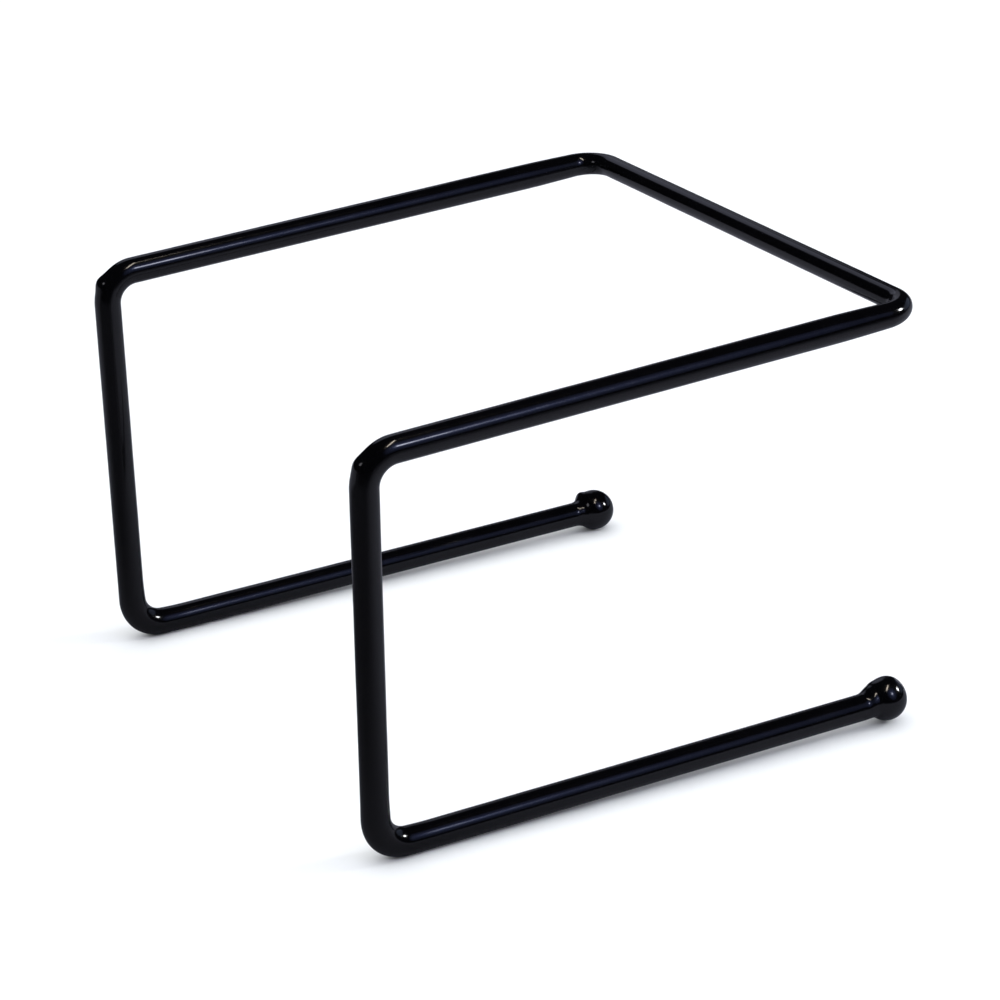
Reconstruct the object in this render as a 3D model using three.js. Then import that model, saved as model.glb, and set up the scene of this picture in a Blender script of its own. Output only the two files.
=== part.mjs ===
// Plate display stand: two C-shaped side frames joined by one crossbar at the front of the top arms.
// One steel rod is bent six times, a steel ball is welded to each end, and black vinyl covers it all.
// Millimetres, +Z up, +Y from the uprights towards the crossbar, +X to the right seen from behind it.

import * as THREE from 'three';
import { mergeVertices } from 'three/addons/utils/BufferGeometryUtils.js';

// Rod, balls and coat
const ROD_RADIUS = 4;
const BALL_RADIUS = 7;
const COAT_RADIUS = 5.4;
const CROSSBAR_COAT_RADIUS = 4.65;
const BALL_COAT_RADIUS = 9;
const GAP = 0.3;

// Corners of the rod's centre line. Half widths are measured from the plane of symmetry.
const HALF_WIDTH_FLOOR = 114;
const HALF_WIDTH_BALLS = 115.5;
const HALF_WIDTH_TOP_REAR = 117.2;
const HALF_WIDTH_TOP_FRONT = 118;
const LEG_REACH = 226.5;
const ARM_REACH = 232;
const ARM_HEIGHT_REAR = 161;
const ARM_RISE = 11.4;

// All six bends have this radius, measured to the rod's centre line.
const BEND_RADIUS = 12.7;

// The coat thins towards the crossbar over this length, which ends where the crossbar begins.
const TAPER_LENGTH = 45;
const TAPER_STEPS = 3;

// Tip: distances along the leg's axis, back from the ball's centre, and half thicknesses there
const NECK_END = 6;
const NECK_START = 11.5;
const TIP_COAT_START = 13.5;
const WELD_TOE_ON_BALL = 4.9;
const WELD_THROAT = 6.5;
const WELD_THROAT_RADIUS = 4.75;
const WELD_TOE_ON_ROD = 8;
const WELD_TOE_THICKNESS = 0.35;

// Facets. Every round section is a polygon around its true circle, with one flat side straight up.
const SIDES = 16;
const BEND_STEPS = 6;
const NECK_STEPS = 4;
const FLAT_TO_CORNER = 1 / Math.cos(Math.PI / SIDES);
const MERGE_DISTANCE = 1e-4;

const vinyl = () => new THREE.MeshStandardMaterial({ color: 0x08080a, roughness: 0.18, metalness: 0 });
const steel = () => new THREE.MeshStandardMaterial({ color: 0x9a9ca0, roughness: 0.35, metalness: 1 });
const weldMetal = () => new THREE.MeshStandardMaterial({ color: 0x6f6a66, roughness: 0.55, metalness: 1 });

// A leg climbs a little from its bend to its ball, because bend and ball both touch the floor.
const legSlope = (BALL_COAT_RADIUS - COAT_RADIUS) / LEG_REACH;
const floorCornerHeight = COAT_RADIUS - legSlope * BEND_RADIUS;

// Left-hand corners from the ball to the crossbar, then the same ones mirrored back to the other ball.
const leftCorners = [
  new THREE.Vector3(-HALF_WIDTH_BALLS, LEG_REACH, BALL_COAT_RADIUS),
  new THREE.Vector3(-HALF_WIDTH_FLOOR, 0, floorCornerHeight),
  new THREE.Vector3(-HALF_WIDTH_TOP_REAR, 0, ARM_HEIGHT_REAR),
  new THREE.Vector3(-HALF_WIDTH_TOP_FRONT, ARM_REACH, ARM_HEIGHT_REAR + ARM_RISE),
];
const mirrored = (point) => new THREE.Vector3(-point.x, point.y, point.z);
const corners = [...leftCorners, ...leftCorners.map(mirrored).reverse()];

// Places in that list of the two corners that the crossbar runs between
const CROSSBAR_LEFT = leftCorners.length - 1;
const CROSSBAR_RIGHT = leftCorners.length;

const direction = (from, to) => to.clone().sub(from).normalize();

// One bend: points and tangents on the arc that rounds the corner between two straight runs.
function bendStations(before, corner, after) {
  const arriving = direction(before, corner);
  const leaving = direction(corner, after);
  const angle = arriving.angleTo(leaving);
  const inward = leaving.clone().addScaledVector(arriving, -leaving.dot(arriving)).normalize();
  const start = corner.clone().addScaledVector(arriving, -BEND_RADIUS * Math.tan(angle / 2));
  const centre = start.clone().addScaledVector(inward, BEND_RADIUS);
  const stations = [];
  for (let step = 0; step <= BEND_STEPS; step++) {
    const turned = (angle * step) / BEND_STEPS;
    const point = centre.clone()
      .addScaledVector(inward, -BEND_RADIUS * Math.cos(turned))
      .addScaledVector(arriving, BEND_RADIUS * Math.sin(turned));
    const tangent = arriving.clone().multiplyScalar(Math.cos(turned))
      .addScaledVector(inward, Math.sin(turned));
    stations.push({ point, tangent });
  }
  return stations;
}

// The centre line from one leg end to the other. Each end stops short of its ball's centre.
function centreLine(shortOfBall) {
  const last = corners.length - 1;
  const stations = [];
  const firstRun = direction(corners[0], corners[1]);
  stations.push({ point: corners[0].clone().addScaledVector(firstRun, shortOfBall), tangent: firstRun });
  for (let i = 1; i < last; i++) {
    const arc = bendStations(corners[i - 1], corners[i], corners[i + 1]);
    if (i === CROSSBAR_LEFT) stations.push(...taperStations(arc[0], -1));
    stations.push(...arc);
    if (i === CROSSBAR_RIGHT) stations.push(...taperStations(arc[BEND_STEPS], 1));
  }
  const lastRun = direction(corners[last - 1], corners[last]);
  stations.push({ point: corners[last].clone().addScaledVector(lastRun, -shortOfBall), tangent: lastRun });
  return withLengths(stations);
}

// Extra stations on the straight arm beside a front bend, where the coat changes thickness.
function taperStations(bendEnd, side) {
  const straight = TAPER_LENGTH - (BEND_RADIUS * Math.PI) / 2;
  const stations = [];
  for (let step = 1; step <= TAPER_STEPS; step++) {
    const away = (side * straight * step) / TAPER_STEPS;
    const point = bendEnd.point.clone().addScaledVector(bendEnd.tangent, away);
    stations.push({ point, tangent: bendEnd.tangent });
  }
  return side < 0 ? stations.reverse() : stations;
}

// Adds each station's distance from the nearer leg end, and the two directions across the rod there.
function withLengths(stations) {
  let length = 0;
  const lengths = stations.map((station, i) => {
    if (i > 0) length += station.point.distanceTo(stations[i - 1].point);
    return length;
  });
  const crossbarStart = lengths[stations.length / 2 - 1];
  return stations.map((station, i) => ({
    ...station,
    beforeCrossbar: crossbarStart - Math.min(lengths[i], length - lengths[i]),
    ...acrossRod(station),
  }));
}

// outward points out of the C of a side frame, and straight up along the crossbar.
function acrossRod({ point, tangent }) {
  const alongCrossbar = point.y > ARM_REACH - BEND_RADIUS;
  if (alongCrossbar) {
    const up = new THREE.Vector3(0, 0, 1);
    const outward = up.addScaledVector(tangent, -up.dot(tangent)).normalize();
    return { outward, sideways: tangent.clone().cross(outward) };
  }
  const inner = new THREE.Vector3(-Math.sign(point.x), 0, 0);
  const sideways = inner.addScaledVector(tangent, -inner.dot(tangent)).normalize();
  return { outward: sideways.clone().cross(tangent), sideways };
}

// Half thickness of the coated rod: full on the legs, uprights and arms, thin on the crossbar.
function coatRadius(station) {
  const share = THREE.MathUtils.smoothstep(TAPER_LENGTH - station.beforeCrossbar, 0, TAPER_LENGTH);
  return THREE.MathUtils.lerp(COAT_RADIUS, CROSSBAR_COAT_RADIUS, share);
}

function ringPoints(station, radius) {
  const points = [];
  for (let side = 0; side < SIDES; side++) {
    const angle = ((side + 0.5) * 2 * Math.PI) / SIDES;
    points.push(station.point.clone()
      .addScaledVector(station.outward, radius * FLAT_TO_CORNER * Math.cos(angle))
      .addScaledVector(station.sideways, radius * FLAT_TO_CORNER * Math.sin(angle)));
  }
  return points;
}

// Collects triangles as lists of points and closes them into one geometry with shared corners.
class Skin {
  constructor() {
    this.positions = [];
  }

  triangle(a, b, c) {
    for (const corner of [a, b, c]) this.positions.push(corner.x, corner.y, corner.z);
  }

  band(ring, next) {
    for (let i = 0; i < SIDES; i++) {
      const j = (i + 1) % SIDES;
      this.triangle(ring[i], ring[j], next[i]);
      this.triangle(ring[j], next[j], next[i]);
    }
  }

  disc(ring, centre, facesBack) {
    for (let i = 0; i < SIDES; i++) {
      const j = (i + 1) % SIDES;
      if (facesBack) this.triangle(centre, ring[j], ring[i]);
      else this.triangle(centre, ring[i], ring[j]);
    }
  }

  geometry() {
    const geometry = new THREE.BufferGeometry();
    geometry.setAttribute('position', new THREE.Float32BufferAttribute(this.positions, 3));
    const closed = mergeVertices(geometry, MERGE_DISTANCE);
    closed.computeVertexNormals();
    return closed;
  }
}

// A solid rod along the stations.
function rodGeometry(stations, radius) {
  const skin = new Skin();
  const rings = stations.map((station) => ringPoints(station, radius));
  for (let i = 1; i < rings.length; i++) skin.band(rings[i - 1], rings[i]);
  skin.disc(rings[0], stations[0].point, true);
  skin.disc(rings.at(-1), stations.at(-1).point, false);
  return skin.geometry();
}

// A sleeve along the stations, open at both ends.
function sleeveGeometry(stations, outerRadius, boreRadius) {
  const skin = new Skin();
  const outside = stations.map((station) => ringPoints(station, outerRadius(station)));
  const bore = stations.map((station) => ringPoints(station, boreRadius));
  for (let i = 1; i < stations.length; i++) {
    skin.band(outside[i - 1], outside[i]);
    skin.band(bore[i], bore[i - 1]);
  }
  skin.band(bore[0], outside[0]);
  skin.band(outside.at(-1), bore.at(-1));
  return skin.geometry();
}

// Outlines of the turned pieces at a tip: x is the distance from the leg's axis, and y the distance
// from the ball's centre back towards the leg.
const outlinePoint = (fromAxis, along) => new THREE.Vector2(fromAxis, along);
const onSphere = (radius, along) => outlinePoint(Math.sqrt(radius ** 2 - along ** 2), along);

// Corners of a ball made of flat facets, from its far pole back to where the outline leaves it.
function ballOutline(radius, leavesAt) {
  const step = (2 * Math.PI) / SIDES;
  const corner = radius * FLAT_TO_CORNER;
  const outline = [outlinePoint(0, -radius)];
  for (let angle = (step - Math.PI) / 2; angle < Math.PI / 2; angle += step) {
    if (corner * Math.sin(angle) > leavesAt) break;
    outline.push(outlinePoint(corner * Math.cos(angle), corner * Math.sin(angle)));
  }
  return outline;
}

// The weld bead's outer surface from the ball to the rod, or a surface that far clear of it.
function weldSurface(clear) {
  const toe = WELD_TOE_THICKNESS + clear;
  const sphere = BALL_RADIUS * FLAT_TO_CORNER + GAP;
  return [
    onSphere(sphere + toe, WELD_TOE_ON_BALL + WELD_TOE_THICKNESS),
    outlinePoint(WELD_THROAT_RADIUS + clear, WELD_THROAT + clear / 2),
    outlinePoint(ROD_RADIUS + GAP + toe, WELD_TOE_ON_ROD + clear),
  ];
}

// Turns an outline around the leg's axis, with one flat side facing +Z. The axis is +Y, from ball to leg.
function turned(outline) {
  const corners = outline.map((point) => outlinePoint(point.x * FLAT_TO_CORNER, point.y));
  const lathe = new THREE.LatheGeometry(corners, SIDES, Math.PI / SIDES);
  lathe.deleteAttribute('normal');
  lathe.deleteAttribute('uv');
  const closed = mergeVertices(lathe, MERGE_DISTANCE);
  closed.computeVertexNormals();
  return closed;
}

function tipBallGeometry() {
  const outline = ballOutline(BALL_RADIUS, Infinity);
  return turned([...outline, outlinePoint(0, BALL_RADIUS)]);
}

// A fillet of weld metal in the corner between rod and ball.
function tipWeldGeometry() {
  const bore = ROD_RADIUS + GAP;
  const seat = BALL_RADIUS * FLAT_TO_CORNER + GAP;
  const boreMeetsSeat = Math.sqrt(seat ** 2 - bore ** 2);
  return turned([
    outlinePoint(bore, boreMeetsSeat),
    onSphere(seat, WELD_TOE_ON_BALL),
    ...weldSurface(0),
    outlinePoint(bore, WELD_TOE_ON_ROD),
    outlinePoint(bore, boreMeetsSeat),
  ]);
}

// The coat over ball, weld and neck: a cup that is open where it meets the coat of the frame.
function tipCoatGeometry() {
  const bore = ROD_RADIUS + GAP;
  const leavesBall = onSphere(BALL_COAT_RADIUS, NECK_END);
  const steepness = NECK_END / leavesBall.x;
  const bend = NECK_END + (leavesBall.x - COAT_RADIUS) / steepness;
  const neck = new THREE.QuadraticBezierCurve(
    leavesBall, outlinePoint(COAT_RADIUS, bend), outlinePoint(COAT_RADIUS, NECK_START));
  const outside = [...ballOutline(BALL_COAT_RADIUS, NECK_END), ...neck.getPoints(NECK_STEPS)];
  const inside = [
    ...ballOutline(BALL_RADIUS + GAP, WELD_TOE_ON_BALL),
    ...weldSurface(GAP),
    outlinePoint(bore, WELD_TOE_ON_ROD + GAP),
    outlinePoint(bore, TIP_COAT_START),
  ];
  return turned([...outside, outlinePoint(COAT_RADIUS, TIP_COAT_START), ...inside.reverse()]);
}

function piece(name, geometry, material) {
  const mesh = new THREE.Mesh(geometry, material);
  mesh.name = name;
  return mesh;
}

// Ball, weld and coat at the end of one leg, around the ball's centre and in line with the leg.
function tip(side, ballCentre, towardsLeg, outward) {
  const group = new THREE.Group();
  const sideways = towardsLeg.clone().cross(outward);
  group.position.copy(ballCentre);
  group.quaternion.setFromRotationMatrix(new THREE.Matrix4().makeBasis(sideways, towardsLeg, outward));
  group.add(piece(`tip_ball_${side}`, tipBallGeometry(), steel()));
  group.add(piece(`tip_weld_${side}`, tipWeldGeometry(), weldMetal()));
  group.add(piece(`vinyl_coat_tip_${side}`, tipCoatGeometry(), vinyl()));
  return group;
}

const rodLine = centreLine(BALL_RADIUS + GAP);
const coatLine = centreLine(TIP_COAT_START + GAP);
const leftEnd = rodLine[0];
const rightEnd = rodLine.at(-1);

const stand = new THREE.Group();
stand.add(piece('steel_rod', rodGeometry(rodLine, ROD_RADIUS), steel()));
stand.add(piece('vinyl_coat_frame', sleeveGeometry(coatLine, coatRadius, ROD_RADIUS + GAP), vinyl()));
stand.add(tip('left', corners[0], leftEnd.tangent, leftEnd.outward));
stand.add(tip('right', corners.at(-1), rightEnd.tangent.clone().negate(), rightEnd.outward));

// The origin is the middle of the surface that the stand rests on.
const extents = new THREE.Box3().setFromObject(stand, true);
const middle = extents.getCenter(new THREE.Vector3());
stand.position.set(-middle.x, -middle.y, -extents.min.z);

const displayStand = new THREE.Group();
displayStand.add(stand);

export default displayStand;
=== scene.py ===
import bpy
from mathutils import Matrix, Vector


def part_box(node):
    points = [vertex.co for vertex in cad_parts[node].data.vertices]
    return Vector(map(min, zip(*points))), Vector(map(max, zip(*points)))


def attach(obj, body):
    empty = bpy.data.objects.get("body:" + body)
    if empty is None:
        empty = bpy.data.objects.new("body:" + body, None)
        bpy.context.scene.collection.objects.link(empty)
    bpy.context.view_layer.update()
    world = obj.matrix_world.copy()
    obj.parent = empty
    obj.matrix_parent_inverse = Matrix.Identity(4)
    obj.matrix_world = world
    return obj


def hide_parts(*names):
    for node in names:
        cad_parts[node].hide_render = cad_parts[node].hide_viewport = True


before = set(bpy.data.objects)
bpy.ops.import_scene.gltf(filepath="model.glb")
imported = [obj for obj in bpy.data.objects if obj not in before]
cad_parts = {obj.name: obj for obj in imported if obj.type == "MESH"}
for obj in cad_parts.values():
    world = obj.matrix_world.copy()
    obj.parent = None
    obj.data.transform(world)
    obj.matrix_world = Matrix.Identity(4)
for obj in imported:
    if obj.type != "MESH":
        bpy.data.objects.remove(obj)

"""Plate display stand: smooth vinyl coat, steel rod, balls and weld beads, on a pale floor.

Sizes are in metres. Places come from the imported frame, and the driving sizes below repeat the
CAD part's.
"""

import math

import bpy
import numpy as np
from mathutils import Matrix, Vector, noise

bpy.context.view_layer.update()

# Sizes of the rod, the balls and the coat
ROD_RADIUS = 0.0040
BALL_RADIUS = 0.0070
COAT_RADIUS = 0.0054
CROSSBAR_COAT_RADIUS = 0.00465
BALL_COAT_RADIUS = 0.0090
COAT_GAP = 0.0003
BEND_RADIUS = 0.0127
TAPER_LENGTH = 0.045
ARM_RISE = 0.0114

# How far the corners stand out beyond the floor bends, on each side
BALL_SPREAD = 0.0015
TOP_REAR_SPREAD = 0.0032
TOP_FRONT_SPREAD = 0.0040

# The neck between leg and ball, as distances from the ball's centre
NECK_END = 0.0060
NECK_START = 0.0115
NECK_HOLLOW = 2.4
WELD_ON_BALL = 0.0049
WELD_THROAT = 0.0065
WELD_THROAT_RADIUS = 0.00475
WELD_ON_ROD = 0.0080
WELD_THICKNESS = 0.00035

# The right ball's coat sits back and up, is swollen on top, and has dried with two flats
RIGHT_TIP_SET_BACK = 0.0005
RIGHT_COAT_SHIFT = 0.0008
RIGHT_COAT_LIFT = 0.0006
RIGHT_COAT_RADIUS = 0.0085
RIGHT_SWELL = 0.0009
RIGHT_SWELL_SPREAD = 0.5
RIGHT_SWELL_SIDE = Vector((-0.100, 0.250, 0.963))
TOP_FLAT = 0.0091
TOP_FLAT_SIDE = Vector((-0.123, 0.123, 0.985))
CHAMFER = 0.0088
CHAMFER_SIDE = Vector((0.250, 0.590, 0.768))

# Vinyl that gathered in the floor bends, dried drops on the rear top bends, lumps at the necks,
# and slow waves
LEFT_BEND_INSIDE = 0.0008
LEFT_BEND_OUTSIDE = 0.0002
RIGHT_BEND_INSIDE = 0.0006
RIGHT_BEND_OUTSIDE = 0.0006
BUILD_UP_BEYOND = 0.010
NUB_PLACE = 0.38
NUB_LENGTH = 0.0017
NUB_WIDTH = 0.0030
LEFT_NUB_HEIGHT = 0.0014
RIGHT_NUB_HEIGHT = 0.0010
LEFT_SWELL = dict(place=0.0044, turned=206, height=0.0009, length=0.0012, width=0.0032)
LEFT_SHOULDER = dict(place=0.0056, turned=206, height=0.0010, length=0.0009, width=0.0030)
LEFT_RIPPLE = dict(place=0.0088, turned=125, height=0.00022, length=0.0011, width=0.0018)
RIGHT_SHOULDER = dict(place=0.0073, turned=160, height=0.0013, length=0.0020, width=0.0036)
RIGHT_RIPPLE = dict(place=0.0090, turned=240, height=0.00022, length=0.0012, width=0.0022)
LEFT_NECK_LUMPS = (LEFT_SWELL, LEFT_SHOULDER, LEFT_RIPPLE)
RIGHT_NECK_LUMPS = (RIGHT_SHOULDER, RIGHT_RIPPLE)
WAVE_DEPTH = 0.00007
LONG_WAVES_PER_METRE = 45
SHORT_WAVES_PER_METRE = 130
SHORT_WAVE_SHARE = 0.5

# Fineness of the meshes. Lengths along the rod are rounded to LENGTH_DIGITS.
AROUND = 64
STRAIGHT_STEP = 0.002
HIDDEN_STEP = 0.010
TIP_STEP = 0.0004
BEND_STEPS = 36
SPHERE_STEPS = 44
TIP_END = 0.022
LENGTH_DIGITS = 7
WELD_STEPS = 12
WELD_END_INSET = TIP_STEP / 100
WELD_RIPPLES = 18
WELD_RIPPLE_HEIGHT = 0.00008

# Materials: colours, ranges of roughness, heights of bumps, and how the grain is stretched.
# Noise values lie mostly inside the two ranges.
NOISE_RANGE = (0.3, 0.7)
TINT_RANGE = (0.35, 0.7)
VINYL_DARK = (0.0005, 0.0005, 0.0008)
VINYL_LIGHT = (0.0010, 0.0010, 0.0014)
VINYL_ROUGHNESS = (0.10, 0.16)
VINYL_PEEL_HEIGHT = 0.000004
DRAWN_STEEL_DARK = (0.34, 0.35, 0.37)
DRAWN_STEEL_LIGHT = (0.55, 0.56, 0.58)
DRAWN_STEEL_ROUGHNESS = (0.25, 0.42)
DRAWN_STEEL_STRETCH = (1, 0.08, 1)
WELD_METAL_DARK = (0.16, 0.15, 0.17)
WELD_METAL_LIGHT = (0.40, 0.36, 0.33)
WELD_METAL_ROUGHNESS = (0.35, 0.55)
WELD_METAL_STRETCH = (1, 1, 1)
STEEL_GRAIN_HEIGHT = 0.00001
PAPER_DARK = (0.86, 0.865, 0.87)
PAPER_LIGHT = (0.88, 0.885, 0.89)

# The camera, aimed at a point near the middle of the stand
CAMERA_AZIMUTH = 61.78
CAMERA_ELEVATION = 22.41
CAMERA_ROLL = math.radians(-1.47)
CAMERA_DISTANCE = 1.2682
CAMERA_AIM = Vector((0.02109, -0.01061, 0.08820))
FOCAL_SHARE = 3.2170
SENSOR_WIDTH = 36.0
CLIP_START = 0.05
CLIP_END = 50

# The studio
FLOOR_HALF = 20.0
# The floor's colour as reflections see it: painted dim, a painted shade
FLOOR_IN_REFLECTIONS = (0.175, 0.175, 0.205, 1)
LIGHTS_AIM = Vector((0, 0, 0.09))
WINDOW_AZIMUTH = 108.7
WINDOW_ELEVATION = 36.5
WINDOW_DISTANCE = 1.888
WINDOW_PEAK = 9.5
WINDOW_MIDDLE_ANGLE = math.radians(3.0)
WINDOW_ANGLE = math.radians(3.9)
HALO_RINGS = 5
HALO_PEAK = 0.5
HALO_ANGLE = math.radians(6.5)
HALO_GROWTH = 1.38
HALO_FALL = 0.62
WINDOW_SLENDER = 1.18
WINDOW_MIDDLE_COLOUR = Vector((1.0, 1.05, 1.26))
WINDOW_EDGE_COLOUR = Vector((1.0, 1.25, 2.7))
WORLD_COLOUR = (0.008, 0.008, 0.010, 1)


# ---------------------------------------------------------------- centre line


def corner_points():
    """Corners of the rod's centre line, from the left ball's centre to the right one's."""
    coat_low, coat_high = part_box("vinyl_coat_frame")
    ball_low, ball_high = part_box("tip_ball_right")
    ball = (ball_low + ball_high) / 2
    back = coat_low.y + COAT_RADIUS
    front = coat_high.y - CROSSBAR_COAT_RADIUS
    crossbar_height = coat_high.z - CROSSBAR_COAT_RADIUS
    half_width = ball.x - BALL_SPREAD
    leg_slope = (BALL_COAT_RADIUS - COAT_RADIUS) / (ball.y - back)
    right = [
        ball,
        Vector((half_width, back, ball.z - leg_slope * (ball.y - back + BEND_RADIUS))),
        Vector((half_width + TOP_REAR_SPREAD, back, crossbar_height - ARM_RISE)),
        Vector((half_width + TOP_FRONT_SPREAD, front, crossbar_height)),
    ]
    left = [Vector((-p.x, p.y, p.z)) for p in right]
    right[0] = ball - (ball - right[1]).normalized() * RIGHT_TIP_SET_BACK
    return [np.array(p) for p in left + right[::-1]]


CORNERS = corner_points()
UP = np.array((0.0, 0.0, 1.0))


def unit(vector):
    return vector / np.linalg.norm(vector)


class CentreLine:
    """The rod's centre line as a function of the length from the left ball's centre."""

    def __init__(self, corners):
        self.pieces = []
        self.bend_spans = []
        start, travelled = corners[0], 0.0
        for before, corner, after in zip(corners, corners[1:], corners[2:]):
            arriving, leaving = unit(corner - before), unit(after - corner)
            angle = math.acos(float(arriving @ leaving))
            cut = BEND_RADIUS * math.tan(angle / 2)
            bend_start = corner - arriving * cut
            run = float(np.linalg.norm(bend_start - start))
            self.pieces.append(("run", travelled, start, arriving, None))
            travelled += run
            inward = unit(leaving - arriving * float(leaving @ arriving))
            self.pieces.append(("arc", travelled, bend_start, arriving, inward))
            self.bend_spans.append((travelled, travelled + BEND_RADIUS * angle))
            travelled += BEND_RADIUS * angle
            start = corner + leaving * cut
        last = unit(corners[-1] - corners[-2])
        run = float(np.linalg.norm(corners[-1] - start))
        self.pieces.append(("run", travelled, start, last, None))
        self.length = travelled + run

    def at(self, along):
        """Point and direction at one length."""
        chosen = self.pieces[0]
        for piece in self.pieces:
            if along >= piece[1]:
                chosen = piece
        kind, begins, start, direction, inward = chosen
        if kind == "run":
            return start + direction * (along - begins), direction
        turned = (along - begins) / BEND_RADIUS
        across = inward * (BEND_RADIUS * (1 - math.cos(turned)))
        point = start + direction * (BEND_RADIUS * math.sin(turned)) + across
        return point, direction * math.cos(turned) + inward * math.sin(turned)

    def across(self, along, point, direction):
        """The two directions across the rod. One points out of the C of a side frame, or up on
        the crossbar and its bends. The other points sideways."""
        crossbar_begins, crossbar_ends = self.bend_spans[2][0], self.bend_spans[3][1]
        if crossbar_begins < along < crossbar_ends:
            outward = unit(UP - direction * float(UP @ direction))
            return outward, np.cross(direction, outward)
        inner = np.array((-np.sign(point[0]), 0.0, 0.0))
        sideways = unit(inner - direction * float(inner @ direction))
        return np.cross(sideways, direction), sideways

    def lengths(self, step):
        """Lengths for the rings between the tips: a step apart on the straights, and denser in
        the bends."""
        marks = [0.0]
        for begins, ends in self.bend_spans:
            count = max(2, round((begins - marks[-1]) / step))
            marks += list(np.linspace(marks[-1], begins, count + 1)[1:])
            marks += list(np.linspace(begins, ends, BEND_STEPS + 1)[1:])
        count = max(2, round((self.length - marks[-1]) / step))
        marks += list(np.linspace(marks[-1], self.length, count + 1)[1:])
        return np.array([m for m in marks if TIP_END < m < self.length - TIP_END])


LINE = CentreLine(CORNERS)


def ball_distances(radius, centre=0.0):
    """Distances along the leg for the rings of a sphere, from its far pole to its near one."""
    half_circle = np.linspace(0, math.pi, SPHERE_STEPS + 1)[1:-1]
    return centre - radius * np.cos(half_circle)


def with_tips(left_distances, right_distances, step):
    """Lengths for all the rings, from distances behind the left and the right ball's centre."""
    between = np.concatenate((LINE.lengths(step), left_distances, LINE.length - right_distances))
    return np.unique(np.round(between, LENGTH_DIGITS))


def smooth_step(value, low, high):
    share = np.clip((value - low) / (high - low), 0, 1)
    return share * share * (3 - 2 * share)


# ------------------------------------------------------------ thickness rules


def from_tip(along):
    """Distance from the nearer ball's centre, along the rod."""
    return np.minimum(along, LINE.length - along)


def coated_rod_radius(along):
    """Full thickness on the side frames, thinner on the crossbar."""
    crossbar_starts = LINE.bend_spans[2][1]
    share = smooth_step(from_tip(along), crossbar_starts - TAPER_LENGTH, crossbar_starts)
    return COAT_RADIUS + (CROSSBAR_COAT_RADIUS - COAT_RADIUS) * share


def sphere_radius(distance, radius):
    return np.sqrt(np.clip(radius**2 - distance**2, 0, None))


class TipCoat:
    """The coat over one ball: a sphere and a concave neck, shifted back along the leg and up."""

    def __init__(self, radius, shift, lift):
        self.radius, self.shift, self.lift = radius, shift, lift

    def outline(self, distance):
        back = distance - self.shift
        leaves = sphere_radius(NECK_END, self.radius)
        share = np.clip((NECK_START - back) / (NECK_START - NECK_END), 0, 1)
        neck = COAT_RADIUS + (leaves - COAT_RADIUS) * share**NECK_HOLLOW
        return np.where(back < NECK_END, sphere_radius(back, self.radius), neck)

    def raised(self, distance):
        return self.lift * (1 - smooth_step(distance - self.shift, NECK_END, NECK_START))

    def distances(self):
        fine = np.arange(self.shift + NECK_END, TIP_END, TIP_STEP)
        sphere = ball_distances(self.radius, self.shift)
        return np.concatenate((sphere[sphere < self.shift + NECK_END], fine))


LEFT_COAT = TipCoat(BALL_COAT_RADIUS, 0.0, 0.0)
RIGHT_COAT = TipCoat(RIGHT_COAT_RADIUS, RIGHT_COAT_SHIFT, RIGHT_COAT_LIFT)


def tip_coat_at(along):
    return LEFT_COAT if along < LINE.length / 2 else RIGHT_COAT


def outer_coat_radius(along):
    distance = from_tip(along)
    on_left = along < LINE.length / 2
    tips = np.where(on_left, LEFT_COAT.outline(distance), RIGHT_COAT.outline(distance))
    return np.where(distance < TIP_END, tips, coated_rod_radius(along))


def weld_radius(distance, clear):
    """The weld bead's outside, or a surface that far clear of it."""
    along = [WELD_ON_BALL, WELD_THROAT, WELD_ON_ROD]
    on_ball = sphere_radius(np.array(WELD_ON_BALL), BALL_RADIUS + COAT_GAP + WELD_THICKNESS)
    radii = [float(on_ball), WELD_THROAT_RADIUS, ROD_RADIUS + COAT_GAP + WELD_THICKNESS]
    inside = (distance > WELD_ON_BALL - clear) & (distance < WELD_ON_ROD + clear)
    return np.where(inside, np.interp(distance, along, radii) + clear, 0)


def inner_coat_radius(along):
    distance = from_tip(along)
    ball = sphere_radius(distance, BALL_RADIUS + COAT_GAP)
    rod = np.where(distance > 0, ROD_RADIUS + COAT_GAP, 0)
    return np.maximum(np.maximum(ball, rod), weld_radius(distance, COAT_GAP))


# ---------------------------------------------------------------- mesh making


def quads_between(ring, other):
    """The quads that join two rings of points."""
    for i in range(AROUND):
        j = (i + 1) % AROUND
        yield ring * AROUND + i, ring * AROUND + j, other * AROUND + j, other * AROUND + i


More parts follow.
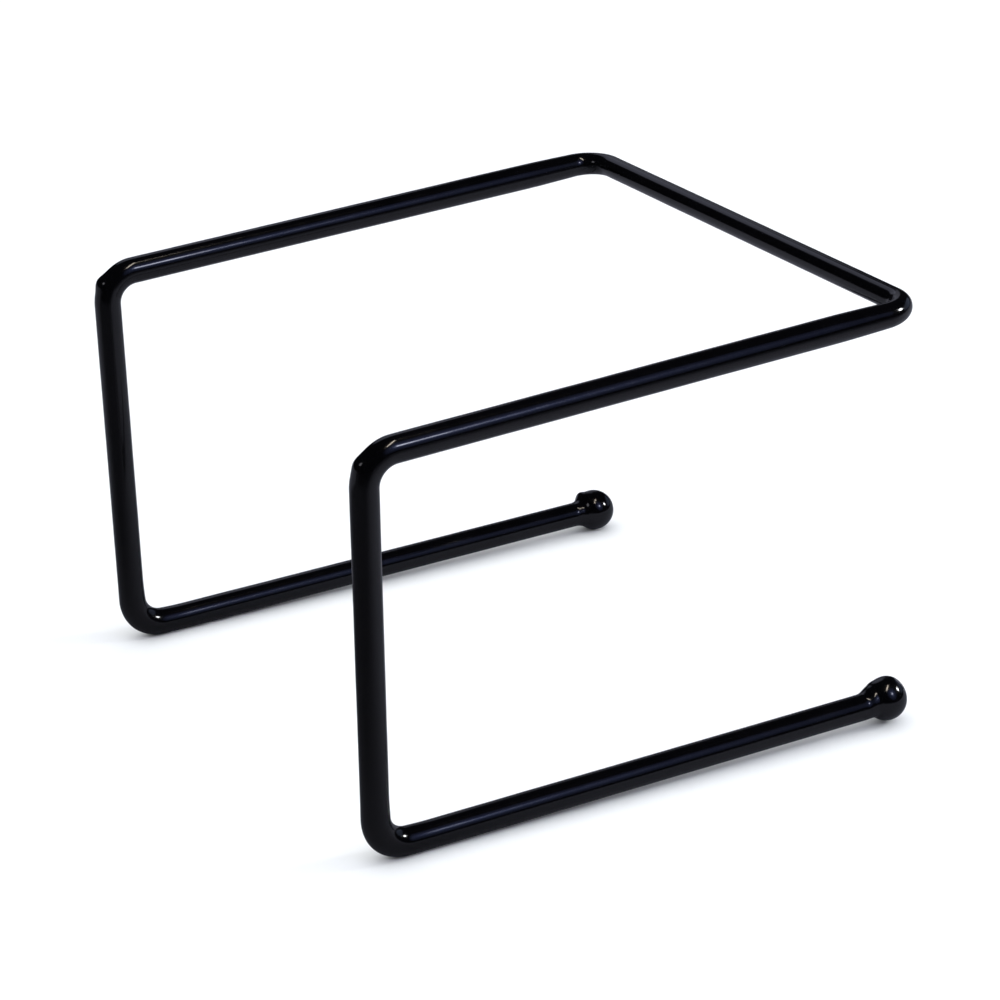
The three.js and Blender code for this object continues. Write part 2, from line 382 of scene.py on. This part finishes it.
class Sweep:
    """Rings of points around the centre line, and which way is out at each point."""

    def __init__(self, lengths, radius_rule, lifted=False):
        self.along = np.asarray(lengths)
        radii = radius_rule(self.along)
        angles = np.arange(AROUND) * 2 * math.pi / AROUND
        points, outs, centres = [], [], []
        for along, radius in zip(self.along, radii):
            centre, direction = LINE.at(along)
            if lifted:
                centre = centre + UP * tip_coat_at(along).raised(from_tip(along))
            outward, sideways = LINE.across(along, centre, direction)
            out = np.outer(np.cos(angles), outward) + np.outer(np.sin(angles), sideways)
            points.append(centre + out * radius)
            outs.append(out)
            centres.append(centre)
        self.points = np.array(points)
        self.outs = np.array(outs)
        self.centres = np.array(centres)
        self.angles = angles

    def faces(self, inside_out=False):
        """Side quads and two end caps of triangles."""
        rings = len(self.along)
        faces = [quad for ring in range(rings - 1) for quad in quads_between(ring, ring + 1)]
        first_cap, last_cap = rings * AROUND, rings * AROUND + 1
        last_ring = (rings - 1) * AROUND
        for i in range(AROUND):
            j = (i + 1) % AROUND
            faces.append((first_cap, j, i))
            faces.append((last_cap, last_ring + i, last_ring + j))
        return [face[::-1] for face in faces] if inside_out else faces

    def vertices(self, first_cap=None, last_cap=None):
        """All points, then the middles of the two caps: the end rings' centres, if not given."""
        flat = self.points.reshape(-1, 3)
        first = self.centres[0] if first_cap is None else first_cap
        last = self.centres[-1] if last_cap is None else last_cap
        return np.vstack((flat, first, last))


def add_mesh(name, shells):
    """One object from one or more closed shells, each with its vertices and faces."""
    vertices, faces = [], []
    for shell_vertices, shell_faces in shells:
        offset = sum(len(v) for v in vertices)
        vertices.append(shell_vertices)
        faces += [tuple(i + offset for i in face) for face in shell_faces]
    mesh = bpy.data.meshes.new(name)
    mesh.from_pydata(np.vstack(vertices).tolist(), [], faces)
    mesh.polygons.foreach_set("use_smooth", [True] * len(mesh.polygons))
    mesh.update()
    piece = bpy.data.objects.new(name, mesh)
    bpy.context.scene.collection.objects.link(piece)
    return piece


def finish_piece(piece, material, slot, *nodes):
    piece.data.materials.append(material)
    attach(piece, "root")
    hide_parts(*nodes)


# --------------------------------------------------------------- coat's relief


def hump(value, centre, width):
    return np.exp(-0.5 * ((value - centre) / width) ** 2)


def swing(angle, centre):
    """Signed distance between two angles around the rod, between -pi and pi."""
    return (angle - centre + math.pi) % (2 * math.pi) - math.pi


def bend_share(along, span, beyond):
    """Rises from 0 to 1 in the middle of a bend and falls again, starting some way before it."""
    begins, ends = span[0] - beyond, span[1] + beyond
    return np.sin(math.pi * np.clip((along - begins) / (ends - begins), 0, 1)) ** 2


def floor_bend_build_up(along, angle):
    """Vinyl that gathered in the bends at the floor, on their inside and outside."""
    build_up = np.zeros(np.broadcast(along, angle).shape)
    left = (LINE.bend_spans[0], LEFT_BEND_INSIDE, LEFT_BEND_OUTSIDE)
    right = (LINE.bend_spans[-1], RIGHT_BEND_INSIDE, RIGHT_BEND_OUTSIDE)
    for span, inside, outside in (left, right):
        build_up += inside * bend_share(along, span, BUILD_UP_BEYOND) * (1 - np.cos(angle)) / 2
        build_up += outside * bend_share(along, span, 0) * (1 + np.cos(angle)) / 2
    return build_up


def nubs(along, angle):
    """A dried drop on the outside of each rear top bend."""
    left, right = LINE.bend_spans[1], LINE.bend_spans[-2]
    left_place = left[0] + NUB_PLACE * (left[1] - left[0])
    right_place = right[1] - NUB_PLACE * (right[1] - right[0])
    around = COAT_RADIUS * swing(angle, 0)
    drop = LEFT_NUB_HEIGHT * hump(along, left_place, NUB_LENGTH)
    drop = drop + RIGHT_NUB_HEIGHT * hump(along, right_place, NUB_LENGTH)
    return drop * hump(around, 0, NUB_WIDTH)


def lump(behind_ball, angle, place, turned, height, length, width):
    """A soft lump at one place behind a ball, turned some degrees around the leg from straight
    down through its inner side."""
    around = COAT_RADIUS * swing(angle, math.radians(turned))
    return height * hump(behind_ball, place, length) * hump(around, 0, width)


def neck_lumps(along, angle):
    """The shoulder above each neck, and the weld bead's ripples, which show through the coat."""
    from_left, from_right = along, LINE.length - along
    left = sum(lump(from_left, angle, **shape) for shape in LEFT_NECK_LUMPS)
    right = sum(lump(from_right, angle, **shape) for shape in RIGHT_NECK_LUMPS)
    return left + right


def wave_at(point):
    """Noise of about -1.5 to 1.5, with long waves and short ones."""
    point = Vector(point)
    short = noise.noise(point * SHORT_WAVES_PER_METRE)
    return noise.noise(point * LONG_WAVES_PER_METRE) + SHORT_WAVE_SHARE * short


def waves(points):
    """Slow unevenness of a dipped coat, always inward."""
    noises = np.array([wave_at(p) for p in points.reshape(-1, 3)]).reshape(points.shape[:2])
    return -WAVE_DEPTH * np.maximum(0, 1 + noises) / 2


def reshape_right_ball(sweep):
    """Swells the coat of the right ball and cuts flats into it, as if it skinned over before it
    had drained."""
    on_ball = np.nonzero(LINE.length - sweep.along < RIGHT_COAT_SHIFT + NECK_END)[0]
    centre = LINE.at(LINE.length - RIGHT_COAT_SHIFT)[0] + UP * RIGHT_COAT_LIFT
    from_centre = sweep.points[on_ball] - centre
    reach = np.linalg.norm(from_centre, axis=-1, keepdims=True)
    turned = np.arccos(np.clip((from_centre / reach) @ np.array(RIGHT_SWELL_SIDE), -1, 1))
    swell = RIGHT_SWELL * hump(turned, 0, RIGHT_SWELL_SPREAD)[..., None]
    from_centre = from_centre * (1 + swell / reach)
    for side, distance in ((TOP_FLAT_SIDE, TOP_FLAT), (CHAMFER_SIDE, CHAMFER)):
        height = np.maximum(from_centre @ np.array(side), RIGHT_COAT_RADIUS / 2)
        from_centre = from_centre * np.minimum(1, distance / height)[..., None]
    sweep.points[on_ball] = centre + from_centre


def add_relief(sweep):
    along, angle = sweep.along[:, None], sweep.angles[None, :]
    lumps = floor_bend_build_up(along, angle) + nubs(along, angle) + neck_lumps(along, angle)
    sweep.points = sweep.points + sweep.outs * (lumps + waves(sweep.points))[..., None]
    reshape_right_ball(sweep)


# ------------------------------------------------------------------ materials


class Nodes:
    """A small helper that adds shader nodes and joins them."""

    def __init__(self, material):
        material.use_nodes = True
        self.tree = material.node_tree
        self.tree.nodes.clear()
        self.output = self.add("ShaderNodeOutputMaterial")

    def add(self, kind, **settings):
        node = self.tree.nodes.new(kind)
        for name, value in settings.items():
            setattr(node, name, value)
        return node

    def join(self, start, end):
        self.tree.links.new(start, end)

    def noise(self, coordinates, scale, detail, roughness=0.5):
        node = self.add("ShaderNodeTexNoise")
        node.inputs["Scale"].default_value = scale
        node.inputs["Detail"].default_value = detail
        node.inputs["Roughness"].default_value = roughness
        self.join(coordinates, node.inputs["Vector"])
        return node.outputs["Fac"]

    def map_range(self, value, start, end, before, after, interpolation):
        node = self.add("ShaderNodeMapRange", interpolation_type=interpolation)
        settings = {"From Min": start, "From Max": end, "To Min": before, "To Max": after}
        for name, number in settings.items():
            node.inputs[name].default_value = number
        self.join(value, node.inputs["Value"])
        return node.outputs["Result"]

    def spread(self, value, low, high):
        """Maps a noise value on to a range."""
        return self.map_range(value, *NOISE_RANGE, low, high, "LINEAR")

    def fade(self, value, start, end, before, after):
        """Smoothly changes from one number to another between two places."""
        return self.map_range(value, start, end, before, after, "SMOOTHSTEP")

    def tint(self, value, dark, light):
        """Maps a noise value on to a mix of two colours."""
        ramp = self.add("ShaderNodeValToRGB")
        stops = ramp.color_ramp.elements
        for stop, position, colour in zip(stops, TINT_RANGE, (dark, light)):
            stop.position = position
            stop.color = (*colour, 1)
        self.join(value, ramp.inputs["Fac"])
        return ramp.outputs["Color"]

    def bump(self, height, distance):
        node = self.add("ShaderNodeBump")
        node.inputs["Strength"].default_value = 1.0
        node.inputs["Distance"].default_value = distance
        self.join(height, node.inputs["Height"])
        return node.outputs["Normal"]


def black_vinyl():
    """Dip-coated vinyl: near black with a blue cast, glossy, uneven, with a faint orange peel."""
    material = bpy.data.materials.new("black_vinyl_dip_coat")
    nodes = Nodes(material)
    shader = nodes.add("ShaderNodeBsdfPrincipled")
    place = nodes.add("ShaderNodeTexCoord").outputs["Object"]
    shade = nodes.tint(nodes.noise(place, scale=60, detail=3), VINYL_DARK, VINYL_LIGHT)
    nodes.join(shade, shader.inputs["Base Color"])
    roughness = nodes.spread(nodes.noise(place, scale=180, detail=4), *VINYL_ROUGHNESS)
    nodes.join(roughness, shader.inputs["Roughness"])
    peel = nodes.bump(nodes.noise(place, scale=900, detail=2), VINYL_PEEL_HEIGHT)
    nodes.join(peel, shader.inputs["Normal"])
    shader.inputs["IOR"].default_value = 1.5
    shader.inputs["Coat Weight"].default_value = 0.35
    shader.inputs["Coat Roughness"].default_value = 0.03
    nodes.join(shader.outputs["BSDF"], nodes.output.inputs["Surface"])
    return material


def steel(name, dark, light, roughness, stretch):
    """Plain steel with a grain of darker and lighter streaks, stretched along one axis or not."""
    material = bpy.data.materials.new(name)
    nodes = Nodes(material)
    shader = nodes.add("ShaderNodeBsdfPrincipled")
    place = nodes.add("ShaderNodeTexCoord").outputs["Object"]
    mapping = nodes.add("ShaderNodeMapping")
    mapping.inputs["Scale"].default_value = stretch
    nodes.join(place, mapping.inputs["Vector"])
    grain = nodes.noise(mapping.outputs["Vector"], scale=700, detail=5, roughness=0.6)
    nodes.join(nodes.tint(grain, dark, light), shader.inputs["Base Color"])
    nodes.join(nodes.spread(grain, *roughness), shader.inputs["Roughness"])
    nodes.join(nodes.bump(grain, STEEL_GRAIN_HEIGHT), shader.inputs["Normal"])
    shader.inputs["Metallic"].default_value = 1.0
    nodes.join(shader.outputs["BSDF"], nodes.output.inputs["Surface"])
    return material


# --------------------------------------------------------------------- pieces


def make_coat(material):
    """One skin over rod and balls, with a bore that the steel lies in."""
    rings = with_tips(LEFT_COAT.distances(), RIGHT_COAT.distances(), STRAIGHT_STEP)
    outer = Sweep(rings, outer_coat_radius, lifted=True)
    add_relief(outer)
    left_pole = LINE.at(-BALL_COAT_RADIUS)[0]
    beyond_right_ball = LINE.length + RIGHT_COAT_RADIUS - RIGHT_COAT_SHIFT
    right_pole = LINE.at(beyond_right_ball)[0] + UP * RIGHT_COAT_LIFT
    behind_ball = np.arange(BALL_RADIUS, TIP_END, TIP_STEP)
    bore_tip = np.concatenate((ball_distances(BALL_RADIUS + COAT_GAP), behind_ball))
    bore = Sweep(with_tips(bore_tip, bore_tip, HIDDEN_STEP), inner_coat_radius)
    piece = add_mesh("vinyl_coat", [
        (outer.vertices(left_pole, right_pole), outer.faces()),
        (bore.vertices(), bore.faces(inside_out=True)),
    ])
    coat_nodes = "vinyl_coat_frame", "vinyl_coat_tip_left", "vinyl_coat_tip_right"
    finish_piece(piece, material, "black_vinyl", *coat_nodes)


def make_rod(material):
    ends = np.arange(BALL_RADIUS + COAT_GAP, TIP_END, STRAIGHT_STEP)
    rings = with_tips(ends, ends, HIDDEN_STEP)
    rod = Sweep(rings, lambda along: np.full(len(along), ROD_RADIUS))
    piece = add_mesh("bent_steel_rod", [(rod.vertices(), rod.faces())])
    finish_piece(piece, material, "steel", "steel_rod")


def tip_sweep(side, distances, radius_rule):
    """Rings behind one ball's centre, in the order of the centre line."""
    distances = np.sort(distances)
    lengths = distances if side == "left" else (LINE.length - distances)[::-1]
    return Sweep(lengths, lambda along: radius_rule(from_tip(along)))


def make_ball(side, material):
    distances = ball_distances(BALL_RADIUS)
    ball = tip_sweep(side, distances, lambda distance: sphere_radius(distance, BALL_RADIUS))
    piece = add_mesh(f"steel_ball_{side}", [(ball.vertices(), ball.faces())])
    finish_piece(piece, material, "steel", f"tip_ball_{side}")


def weld_seat_radius(distance):
    """The weld bead's inside, clear of the ball and the rod."""
    return np.maximum(sphere_radius(distance, BALL_RADIUS + COAT_GAP), ROD_RADIUS + COAT_GAP)


def make_weld(side, material):
    """A closed ring around the rod, with ripples that spiral over its outside."""
    distances = np.linspace(WELD_ON_BALL + WELD_END_INSET, WELD_ON_ROD - WELD_END_INSET, WELD_STEPS)
    outer = tip_sweep(side, distances, lambda distance: weld_radius(distance, 0))
    inner = tip_sweep(side, distances, weld_seat_radius)
    spiral = 2 * math.pi * np.arange(WELD_STEPS)[:, None] / WELD_STEPS
    ends_fade = np.sin(np.linspace(0, math.pi, WELD_STEPS))[:, None]
    ripple = WELD_RIPPLE_HEIGHT * np.sin(WELD_RIPPLES * outer.angles[None, :] + spiral) * ends_fade
    points = np.concatenate((outer.points + outer.outs * ripple[..., None], inner.points[::-1]))
    rings = len(points)
    faces = [quad for ring in range(rings) for quad in quads_between(ring, (ring + 1) % rings)]
    piece = add_mesh(f"weld_bead_{side}", [(points.reshape(-1, 3), faces)])
    finish_piece(piece, material, "weld_metal", f"tip_weld_{side}")


# ------------------------------------------------------------ studio and camera


def towards(azimuth, elevation):
    """Direction from the stand: azimuth 0 looks back along -Y, 90 along +X."""
    azimuth, elevation = math.radians(azimuth), math.radians(elevation)
    flat = math.cos(elevation)
    return Vector((math.sin(azimuth) * flat, -math.cos(azimuth) * flat, math.sin(elevation)))


def camera():
    data = bpy.data.cameras.new("camera")
    data.sensor_width = SENSOR_WIDTH
    data.lens = FOCAL_SHARE * SENSOR_WIDTH
    data.clip_start, data.clip_end = CLIP_START, CLIP_END
    back = towards(CAMERA_AZIMUTH, CAMERA_ELEVATION)
    right = Vector(UP).cross(back).normalized()
    up = back.cross(right)
    rolled_right = right * math.cos(CAMERA_ROLL) + up * math.sin(CAMERA_ROLL)
    rolled_up = up * math.cos(CAMERA_ROLL) - right * math.sin(CAMERA_ROLL)
    turn = Matrix((rolled_right, rolled_up, back)).transposed().to_4x4()
    lens = bpy.data.objects.new("camera", data)
    lens.matrix_world = Matrix.Translation(CAMERA_AIM + back * CAMERA_DISTANCE) @ turn
    bpy.context.scene.collection.objects.link(lens)
    bpy.context.scene.camera = lens


def floor_material():
    """Near-white floor. Reflections see its colour painted dimmer, a painted shade that is
    strongest on the camera's side (+X and -Y), as under a dark studio wall."""
    material = bpy.data.materials.new("pale_floor")
    nodes = Nodes(material)
    shader = nodes.add("ShaderNodeBsdfDiffuse")
    place = nodes.add("ShaderNodeTexCoord").outputs["Object"]
    paper = nodes.tint(nodes.noise(place, scale=3, detail=2), PAPER_DARK, PAPER_LIGHT)
    split = nodes.add("ShaderNodeSeparateXYZ")
    nodes.join(place, split.inputs["Vector"])
    # Painted shade for reflections: darker towards -Y except far out on -X, and darker far out on
    # +X
    behind = nodes.fade(split.outputs["Y"], start=-0.26, end=0.06, before=0.25, after=1.0)
    camera_side = nodes.fade(split.outputs["X"], start=-0.35, end=-0.05, before=0.0, after=1.0)
    painted_shade_corner = nodes.add("ShaderNodeMix", data_type="FLOAT")
    painted_shade_corner.inputs["A"].default_value = 1.0
    nodes.join(camera_side, painted_shade_corner.inputs["Factor"])
    nodes.join(behind, painted_shade_corner.inputs["B"])
    near = nodes.fade(split.outputs["X"], start=0.25, end=1.0, before=1.0, after=0.25)
    dimming = nodes.add("ShaderNodeMath", operation="MULTIPLY")
    nodes.join(painted_shade_corner.outputs["Result"], dimming.inputs[0])
    nodes.join(near, dimming.inputs[1])
    # Reflections see the floor in this painted shade; all other rays see the paper
    mirrored = nodes.add("ShaderNodeMix", data_type="RGBA")
    mirrored.inputs["A"].default_value = (0, 0, 0, 1)
    mirrored.inputs["B"].default_value = FLOOR_IN_REFLECTIONS
    nodes.join(dimming.outputs["Value"], mirrored.inputs["Factor"])
    choice = nodes.add("ShaderNodeMix", data_type="RGBA")
    nodes.join(nodes.add("ShaderNodeLightPath").outputs["Is Glossy Ray"], choice.inputs["Factor"])
    nodes.join(paper, choice.inputs["A"])
    nodes.join(mirrored.outputs["Result"], choice.inputs["B"])
    nodes.join(choice.outputs["Result"], shader.inputs["Color"])
    nodes.join(shader.outputs["BSDF"], nodes.output.inputs["Surface"])
    return material


def soft_box(name, azimuth, elevation, distance, width, height, radiance, bearing=None):
    """A round or oval soft light aimed at the stand. Its width runs level, or along the bearing."""
    data = bpy.data.lights.new(name, "AREA")
    data.shape = "ELLIPSE"
    data.size, data.size_y = width, height
    area = math.pi * width * height / 4
    data.energy = math.pi * area
    data.color = radiance
    lamp = bpy.data.objects.new(name, data)
    back = towards(azimuth, elevation)
    level = towards(azimuth + 90 if bearing is None else bearing, 0)
    across = (level - back * level.dot(back)).normalized()
    turn = Matrix((across, back.cross(across), back)).transposed().to_4x4()
    lamp.matrix_world = Matrix.Translation(LIGHTS_AIM + back * distance) @ turn
    bpy.context.scene.collection.objects.link(lamp)
    return lamp


def window_oval(name, half_angle, radiance):
    size = 2 * WINDOW_DISTANCE * math.tan(half_angle)
    soft_box(name, WINDOW_AZIMUTH, WINDOW_ELEVATION, WINDOW_DISTANCE,
             size / WINDOW_SLENDER, size * WINDOW_SLENDER, radiance)


def window():
    """A soft blue window: a bright middle, and ovals around it that fade outwards."""
    window_oval("window_middle", WINDOW_MIDDLE_ANGLE, WINDOW_MIDDLE_COLOUR * WINDOW_PEAK)
    window_oval("window", WINDOW_ANGLE, WINDOW_MIDDLE_COLOUR * WINDOW_PEAK * HALO_FALL)
    for ring in range(HALO_RINGS):
        radiance = WINDOW_EDGE_COLOUR * HALO_PEAK * HALO_FALL**ring
        window_oval(f"window_halo_{ring}", HALO_ANGLE * HALO_GROWTH**ring, radiance)


def studio():
    mesh = bpy.data.meshes.new("floor")
    corners = [(x * FLOOR_HALF, y * FLOOR_HALF, 0) for x, y in ((-1, -1), (1, -1), (1, 1), (-1, 1))]
    mesh.from_pydata(corners, [], [(0, 1, 2, 3)])
    mesh.materials.append(floor_material())
    floor = bpy.data.objects.new("floor", mesh)
    bpy.context.scene.collection.objects.link(floor)

    overhead = soft_box("overhead", azimuth=0, elevation=90, distance=2.6,
                        width=12.0, height=12.0, radiance=(1.38, 1.41, 1.43))
    overhead.visible_glossy = False
    window()
    soft_box("far_window", azimuth=-101, elevation=34, distance=3.0,
             width=1.5, height=1.5, radiance=(0.30, 0.31, 0.40))
    soft_box("far_window_low", azimuth=-117, elevation=17, distance=3.0,
             width=1.16, height=1.16, radiance=(0.17, 0.175, 0.215))
    soft_box("lamp_behind", azimuth=153.6, elevation=25.8, distance=1.186,
             width=0.21, height=0.24, radiance=(30.0, 30.5, 31.0))
    tube = soft_box("ceiling_tube", azimuth=105.3, elevation=70.1, distance=2.574,
                    width=1.47, height=0.16, radiance=(14.0, 12.5, 10.5), bearing=59)
    tube.visible_diffuse = False
    soft_box("glow_behind", azimuth=185, elevation=14, distance=3.0,
             width=2.6, height=1.2, radiance=(0.14, 0.17, 0.25))
    soft_box("side_glow", azimuth=14, elevation=37, distance=1.1,
             width=0.30, height=0.30, radiance=(1.4, 1.4, 1.5))

    world = bpy.data.worlds.new("studio")
    bpy.context.scene.world = world
    world.use_nodes = True
    world.node_tree.nodes["Background"].inputs["Color"].default_value = WORLD_COLOUR

    bpy.context.scene.view_settings.view_transform = "Standard"


def main():
    make_coat(black_vinyl())
    drawn_steel = steel("drawn_steel", DRAWN_STEEL_DARK, DRAWN_STEEL_LIGHT,
                        DRAWN_STEEL_ROUGHNESS, DRAWN_STEEL_STRETCH)
    make_rod(drawn_steel)
    weld_metal = steel("weld_metal", WELD_METAL_DARK, WELD_METAL_LIGHT,
                       WELD_METAL_ROUGHNESS, WELD_METAL_STRETCH)
    for side in ("left", "right"):
        make_ball(side, drawn_steel)
        make_weld(side, weld_metal)
    studio()
    camera()


main()
